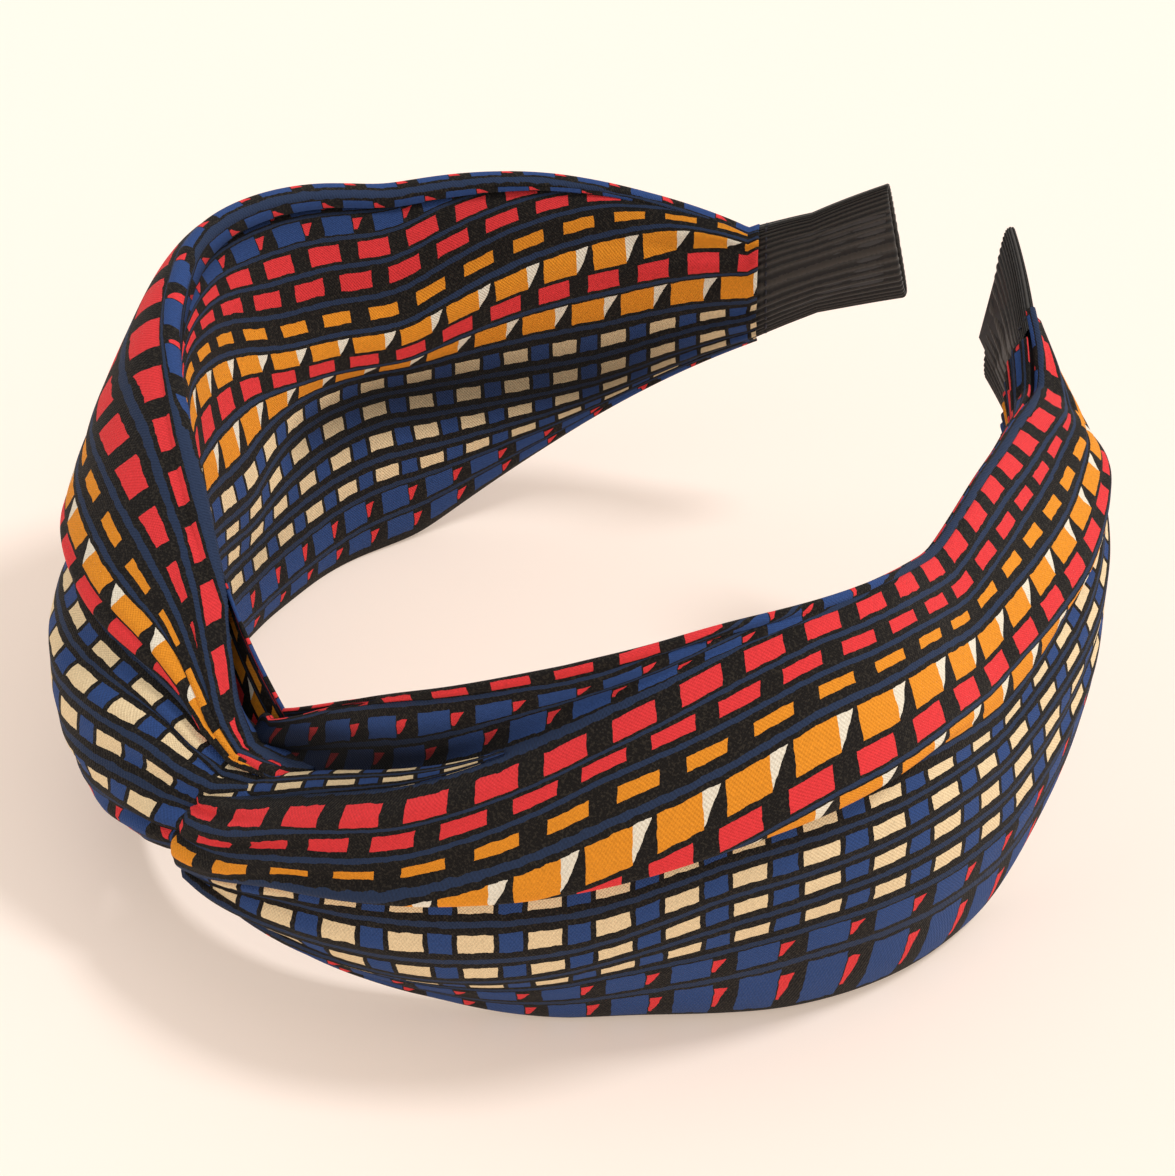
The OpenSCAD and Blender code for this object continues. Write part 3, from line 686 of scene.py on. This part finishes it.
def foldSurface(values):
    # a lens-shaped roll on the slope from the ridge's edge to the bottom of the hollow beside the knot:
    # middle + width * cos(a) * half the slope + swell * sin(a) * normal
    s = np.arange(values["from"], values["to"], values["step"])
    tracks = readTracks(outerTracks[right], outerStations[right], np.clip(s, 0, None))
    ridge, hollow = tracks[values["ridgeTrack"]], tracks[values["hollowTrack"]]
    low = place(right, s, standProud(right, s, ridge[:, 0], ridge[:, 1]) - values["below"], ridge[:, 0])
    bottom = np.maximum(standProud(right, s, hollow[:, 0], hollow[:, 1]), 0)
    high = place(right, s, bottom + values["above"], hollow[:, 0] + values["aside"])
    middle, slope = (low + high) / 2, (high - low) / 2
    forward = np.gradient(middle, axis=0)
    normal = unit(np.cross(forward, slope))
    angle = np.linspace(0, 2 * np.pi, values["around"], endpoint=False)
    width, swell = np.interp(s, *zip(*values["width"])), np.interp(s, *zip(*values["swell"]))
    points = (middle[:, None] + slope[:, None] * (width[:, None] * np.cos(angle))[..., None]
              + normal[:, None] * (swell[:, None] * np.sin(angle))[..., None])
    row = values["row"] - values["spread"] * np.cos(angle) + values["drift"] * s[:, None]
    cloth = np.stack(np.broadcast_arrays(s[:, None] / printValues["repeat"] + values["shift"], row), -1)
    return points, cloth


print("tucked fold")
points, cloth = foldSurface(foldValues)
piece = gridMesh("tucked_fold", points, cloth, closed=True, caps=True)
piece.data.materials.append(clothMaterial)
addPaintedShading(piece, np.full(points.shape[:2], foldValues["paintedShading"]))
bendCloth(piece, right)

innerStations = {
    left: [0, 20, 50, 60, 78, 98, 120, 160, 186],
    right: [0, 20, 50, 60, 78, 98, 120, 160, 192],
}
innerTracks = {
    left: [
        ([1, 1, 1, 0.97, 0.95, 0.95, 0.97, 0.98, 0.96],
         [0, 0, 0, 2, 4, 3.5, 3, 2, 0], [8, 8, 9, 3, 4, 5, 5, 20, 28]),
        ([0.96, 0.97, 0.98, 0.95, 0.92, 0.92, 0.95, 0.95, 0.9],
         [0, 0, 0, 1, 2, 1.5, 1, 0.6, 0], [12, 12, 12, 7, 6, 7, 7, 22, 30]),
        ([0.9, 0.94, 0.95, 0.92, 0.88, 0.85, 0.88, 0.9, 0.84],
         [0, 0, 0, 0, 0.5, 0.4, 0.3, 0.2, 0], [16, 16, 16, 15, 12, 12, 12, 24.5, 32]),
        ([0.8, 0.85, 0.9, 0.87, 0.78, 0.62, 0.66, 0.8, 0.76],
         0, [24.5, 24.5, 24.5, 24.5, 21, 20, 20, 27, 34.5]),
        ([0.65, 0.72, 0.82, 0.8, 0.64, 0.42, 0.44, 0.62, 0.6],
         0, [28, 28, 28, 28, 26.5, 25.5, 25.5, 30, 37]),
        ([0.5, 0.58, 0.68, 0.64, 0.47, 0.26, 0.26, 0.45, 0.44],
         [0, 0, 0, 0, 0, -1, -1.3, -0.8, -0.4], [33, 33, 33, 33, 31.5, 30.8, 30.8, 32.5, 39.5]),
        ([0.35, 0.42, 0.52, 0.42, 0.28, 0.13, 0.12, 0.22, 0.25],
         [0, 0, 0, 0, -0.4, -1.2, -0.8, -0.6, -0.4], [37, 37, 37, 37.5, 37.5, 38, 38, 37.8, 41.5]),
        ([0.2, 0.25, 0.32, 0.15, 0, 0.02, 0.05, -0.14, -0.05],
         [0, 0, 0, 0, -1.4, -0.2, 0.6, 0.4, 0], 43.4),
        ([0, 0.06, 0.08, -0.08, -0.22, -0.16, -0.08, -0.46, -0.42],
         [0, 0, 0, 0, -1.8, 0.9, 1.3, 1, 0.2], 48.2),
        ([-0.2, -0.16, -0.12, -0.23, -0.38, -0.34, -0.24, -0.7, -0.72],
         [0, 0, 0, 0, -0.8, 0.4, 1, 1.2, 0.4], 52.8),
        ([-0.4, -0.36, -0.31, -0.4, -0.53, -0.51, -0.42, -0.84, -0.86],
         [0, 0, 0, 0, 0.4, 0.2, 0, 1, 0.4], 57.3),
        ([-0.58, -0.54, -0.5, -0.6, -0.69, -0.68, -0.59, -0.92, -0.93],
         [0, 0, 0, 0, 0.4, 0.2, 0, 0.6, 0.3], 61.8),
        ([-0.75, -0.74, -0.72, -0.8, -0.86, -0.85, -0.77, -0.96, -0.96],
         [0, 0, 0, 0, 0, 0, 0, 0.3, 0.3], 66.7),
        ([-0.9, -0.9, -0.9, -0.92, -0.94, -0.94, -0.92, -0.98, -0.98], 0, 70.6),
        (-1, 0.4, 73),
    ],
}
evenHeights = [1.0, .95, .88, .76, .62, .48, .34, .2, .06, -.1, -.26, -.44, -.62, -.8, -1]
evenDepths = [.4, 0, 0, 0, -.2, -.2, 0, .4, .6, .3, 0, -.2, -.2, 0, .4]
innerTracks[right] = [
    (q, [0, 0, d, d, d, d, d, 0.6 * d, 0], 3 + 35 * (1 - q)) for q, d in zip(evenHeights, evenDepths)]


def innerSurface(side, values):
    # a shallow curve on the head side, in = 0.6 + 2.4 * (1 - q^6), with the tracks' soft hollows; it
    # stays clear of the hoop, whose edges lie 10 mm from the middle
    end = values["innerEnd"][side]
    u = np.arange(end, -0.01, -values["step"])
    u[-1] = 0
    controls = readTracks(innerTracks[side], innerStations[side], u, values["innerBlur"])
    q, d, w = np.moveaxis(acrossCurve(controls, np.linspace(0, 1, values["acrossInner"])), -1, 0)
    s = np.broadcast_to(u, q.shape)
    mouth = np.exp(-((s - end) / values["innerMouth"]) ** 2)
    pleats = np.sin(2 * np.pi * w / values["pleat"] + 0.04 * s)
    curve = 1 - np.clip(np.abs(q), 0, 1) ** 6
    calm, more = values["innerPleat"]
    n = -values["innerGap"] - values["innerCurve"] * curve + d + (calm + more * mouth) * pleats * curve
    n = np.minimum(n, np.interp(np.abs(q) * halfHeight(side, s), *values["hoopRoom"]))
    cloth = np.stack([s / printValues["repeat"], w], -1)
    # painted shade: the print is darkened where the inner cloth lies deep
    shade, deeper = values["innerShade"]
    return place(side, s, n, q), cloth, foldDepth(shade + deeper * d)


print("inner cloth")
for side, word in ((left, "left"), (right, "right")):
    points, cloth, paintedShading = innerSurface(side, clothValues)
    piece = gridMesh("inner_cloth_" + word, points, cloth, flip=(side == right))
    addPaintedShading(piece, paintedShading)
    finishSheet(piece, side)
    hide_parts("inner_panel_" + word, *(["crown_lining"] if side == left else []))


sleeveValues = {
    "start": {left: 184.0, right: 193.0}, "end": {left: 209.5, right: 207.0},   # mm along the hoop
    "slant": {left: -2.0, right: 2.4},         # mm that the upper edge runs further than the middle
    "heights": ([0, 0.45, 1], [22, 19.5, 24]), "halfDeeps": ([0, 0.25, 1], [2.3, 1.7, 1.5]),
    "ribs": 44, "ribHeight": 0.13, "around": 288, "rows": 60, "foldRows": 12,
    "stitchRow": 8,                            # the row of the tube that the stitches go round
    "mouthFrom": 184.0, "mouthLength": 26.0,   # the stretch over which the sleeve's outline is given
    "belly": 0.8, "offHoop": 0.4, "section": (0.75, 0.55),
    "lip": ([1.012, 1.016, 1.012, 1.0], [-0.15, -0.5, -0.85, -1.0]),   # shares along, and mm inwards
    "foldBack": (0.98, 0.55), "foldDepth": -1.05,
}


def sleeveSurface(side, values):
    # flat tube with an oval section, height * sin(a)^0.75 by depth * cos(a)^0.55, ribbed by a cosine;
    # its mouth is rounded and folded back inside
    rows, folded, start = values["rows"], values["foldRows"], values["start"][side]
    lipAlong, lipDepth = values["lip"]
    along = np.r_[np.linspace(0, 1, rows), lipAlong, np.linspace(*values["foldBack"], folded)]
    depth = np.r_[np.zeros(rows), lipDepth, np.full(folded, values["foldDepth"])]
    s = start + along * (values["end"][side] - start)
    share = np.clip((s - values["mouthFrom"]) / values["mouthLength"], 0, 1)
    height = np.interp(share, *values["heights"]) + values["belly"] * np.sin(np.pi * share)
    halfDeep = np.maximum(np.interp(share, *values["halfDeeps"]) + depth * 0.9, 0.35)
    angle = np.linspace(0, 2 * np.pi, values["around"], endpoint=False)
    ribs = values["ribHeight"] * np.cos(angle * values["ribs"])
    acrossPower, throughPower = values["section"]
    across = np.sign(np.sin(angle)) * np.abs(np.sin(angle)) ** acrossPower
    through = np.sign(np.cos(angle)) * np.abs(np.cos(angle)) ** throughPower
    v = across * (height / 2 + depth)[:, None] + ribs * across
    n = values["offHoop"] + through * halfDeep[:, None] + ribs * through
    slanted = s[:, None] + values["slant"][side] * across * share[:, None]
    cloth = np.stack(np.broadcast_arrays(s[:, None], angle * values["ribs"] / (2 * np.pi)), -1)
    return placeOnArm(side, slanted, n, v), cloth


print("sleeves")
sleeveRing = {}
for side, word in ((left, "left"), (right, "right")):
    points, cloth = sleeveSurface(side, sleeveValues)
    piece = gridMesh("end_sleeve_knit_" + word, points, cloth, flip=(side == left), closed=True)
    piece.data.materials.append(knitMaterial)
    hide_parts("end_sleeve_" + word)
    ring = points[sleeveValues["stitchRow"], :]
    ring = np.vstack([ring, ring[:1]])
    sleeveRing[side] = ring, ring - ring[:-1].mean(0)
    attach(piece, word + "_arm")


stitchValues = {
    "seamRow": 66.8,      # print row that the topstitch follows, mm
    "pitch": 3.0, "length": 2.1, "thickness": 0.42, "sides": 6, "rings": 7,
    "arch": (0.10, 0.25),  # mm that the middle stands up, and that the ends are lower
    "seamFrom": 40,       # mm from the knot to the first stitch of the seam
}
ringValues = {**stitchValues, "pitch": 1.9, "length": 1.3}


def stitchMesh(name, centres, along, outwards, values):
    # each stitch is a spindle: radius = half thickness * (1 - a^4)^0.5 for a from -1 to 1,
    # with its ends sunk in the cloth
    a = np.linspace(-1, 1, values["rings"])
    angle = np.linspace(0, 2 * np.pi, values["sides"], endpoint=False)
    radius = values["thickness"] / 2 * np.sqrt(np.clip(1 - a ** 4, 0.004, 1))
    sideways = np.cross(along, outwards)
    spine = centres[:, None] + along[:, None] * (a * values["length"] / 2)[None, :, None]
    high, drop = values["arch"]
    spine = spine + outwards[:, None] * (high - drop * a ** 2)[None, :, None]
    ring = (np.cos(angle)[None, None, :, None] * sideways[:, None, None]
            + np.sin(angle)[None, None, :, None] * outwards[:, None, None])
    points = spine[:, :, None] + ring * radius[None, :, None, None]
    count, rings, sides = points.shape[:3]
    index = np.arange(count * rings * sides).reshape(count, rings, sides)
    index = np.concatenate([index, index[:, :, :1]], 2)
    quads = np.stack([index[:, :-1, :-1], index[:, :-1, 1:], index[:, 1:, 1:], index[:, 1:, :-1]], -1)
    ends = index[:, 0, :-1][:, ::-1].tolist() + index[:, -1, :-1].tolist()
    mesh = bpy.data.meshes.new(name)
    mesh.from_pydata((points.reshape(-1, 3) * mm).tolist(), [], quads.reshape(-1, 4).tolist() + ends)
    mesh.shade_smooth()
    mesh.materials.append(threadMaterial)
    piece = bpy.data.objects.new(name, mesh)
    bpy.context.scene.collection.objects.link(piece)
    return piece


def alongLine(line, outwards, pitch):
    # evenly spaced places on a polyline, with its direction and the outward normal there
    length = np.r_[0, np.cumsum(np.linalg.norm(np.diff(line, axis=0), axis=1))]
    marks = np.arange(pitch, length[-1] - pitch, pitch)

    def read(values):
        return np.stack([np.interp(marks, length, values[:, i]) for i in range(3)], -1)

    direction = unit(read(np.gradient(line, axis=0)))
    normal = read(outwards)
    normal = unit(normal - direction * (normal * direction).sum(-1, keepdims=True))
    return read(line), direction, normal


def seamLine(points, cloth, values):
    # the line on the cloth where its print row is the seam's, between the knot and the mouth
    row, w = values["seamRow"], cloth[..., 1]
    stations = np.arange(w.shape[1])
    below = np.argmax(w[1:] >= row, axis=0) + 1
    rowStep = np.maximum(w[below, stations] - w[below - 1, stations], 0.01)
    share = np.clip((row - w[below - 1, stations]) / rowStep, 0, 1)
    across = points[below, stations] - points[below - 1, stations]
    line = points[below - 1, stations] + across * share[:, None]
    keep = cloth[0, :, 0] * printValues["repeat"] > values["seamFrom"]
    line, across = line[keep], across[keep]
    return line, np.cross(np.gradient(line, axis=0), across)


print("stitches")
for side, word in ((left, "left"), (right, "right")):
    line, normal = seamLine(outerPoints[side], outerCloth[side], stitchValues)
    normal = normal if side == left else -normal
    seam = alongLine(line, normal, stitchValues["pitch"])
    piece = stitchMesh("topstitch_thread_" + word, *seam, stitchValues)
    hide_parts("topstitch_" + word)
    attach(piece, word + "_arm")
    ring, normal = sleeveRing[side]
    gathering = alongLine(ring, normal, ringValues["pitch"])
    piece = stitchMesh("sleeve_thread_" + word, *gathering, ringValues)
    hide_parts("sleeve_stitch_" + word)
    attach(piece, word + "_arm")

print("cad pieces")
cadMaterials = {
    "hoop_crown": plasticMaterial, "hoop_left": plasticMaterial, "hoop_right": plasticMaterial,
    "knot_tacking": threadMaterial,
}
for name, material in cadMaterials.items():
    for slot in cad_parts[name].material_slots:
        slot.material = material


stageValues = {
    "floorSize": 4.0, "floorDrop": -0.0002, "floorColour": (0.70, 0.62, 0.57),
    "floorGlow": (0.40, 0.315, 0.25),     # lifts the shadows on the floor
    "worldColour": (1.0, 0.97, 0.94), "worldStrength": 0.72,
    "sunFrom": (0.40, 0.62, 1.0), "sunStrength": 1.5, "sunAngle": 12.0,
}


def addStage(values):
    half = values["floorSize"] / 2
    mesh = bpy.data.meshes.new("floor")
    corners = [(-half, -half, 0), (half, -half, 0), (half, half, 0), (-half, half, 0)]
    mesh.from_pydata(corners, [], [(0, 1, 2, 3)])
    floor = bpy.data.objects.new("floor", mesh)
    floor.location.z = values["floorDrop"]
    bpy.context.scene.collection.objects.link(floor)
    material, tree, shader = newMaterial("paleFloor", 0.9)
    shader.inputs["Base Color"].default_value = (*values["floorColour"], 1)
    shader.inputs["Emission Color"].default_value = (*values["floorGlow"], 1)
    shader.inputs["Emission Strength"].default_value = 1.0
    mesh.materials.append(material)
    world = bpy.data.worlds.new("studio")
    world.use_nodes = True
    world.node_tree.nodes["Background"].inputs[0].default_value = (*values["worldColour"], 1)
    world.node_tree.nodes["Background"].inputs[1].default_value = values["worldStrength"]
    bpy.context.scene.world = world
    light = bpy.data.lights.new("keyLight", "SUN")
    light.energy = values["sunStrength"]
    light.angle = np.radians(values["sunAngle"])
    key = bpy.data.objects.new("keyLight", light)
    key.rotation_euler = Vector(values["sunFrom"]).to_track_quat("Z", "Y").to_euler()
    bpy.context.scene.collection.objects.link(key)
    bpy.context.scene.view_settings.view_transform = "Standard"


print("stage")
addStage(stageValues)

bpy.context.view_layer.update()
